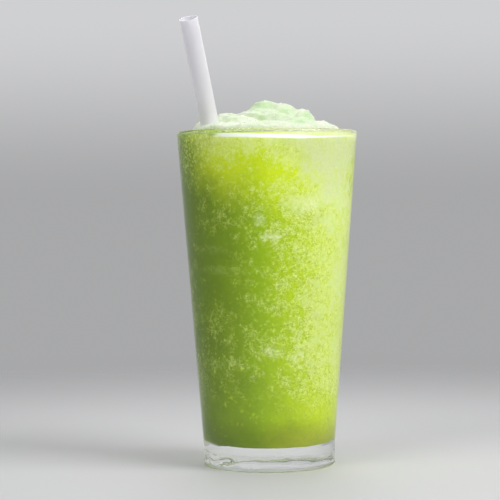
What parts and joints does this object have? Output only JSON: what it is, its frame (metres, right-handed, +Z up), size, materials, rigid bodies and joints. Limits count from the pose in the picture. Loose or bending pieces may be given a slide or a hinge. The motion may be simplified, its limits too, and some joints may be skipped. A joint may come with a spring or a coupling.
{
  "type": "frozen mojito",
  "caption": "Tall conical clear glass with a thick base, filled with yellow-green frozen slush that is heaped over the rim, with a wide whitish drinking straw leaning to one side.",
  "frame": {"origin": "on the glass's axis, in the plane of the rest ring that it stands on", "axes": "+Z up along the glass's axis, -Y towards the viewer of the picture, +X to the viewer's right"},
  "size_m": [0.0862, 0.0862, 0.213],
  "materials": {
    "clear_glass": "clear polished soda-lime glass",
    "lime_slush": "wet frozen lime slush with fine pale ice granules",
    "pale_ice": "pale mint-green packed ice, granular and softly glossy",
    "frosted_straw": "translucent frosted white plastic, smooth"
  },
  "bodies": {
    "root": {"glass": "clear_glass", "drink": "lime_slush", "ice_crown": "pale_ice", "straw": "frosted_straw"}
  },
  "joints": []
}
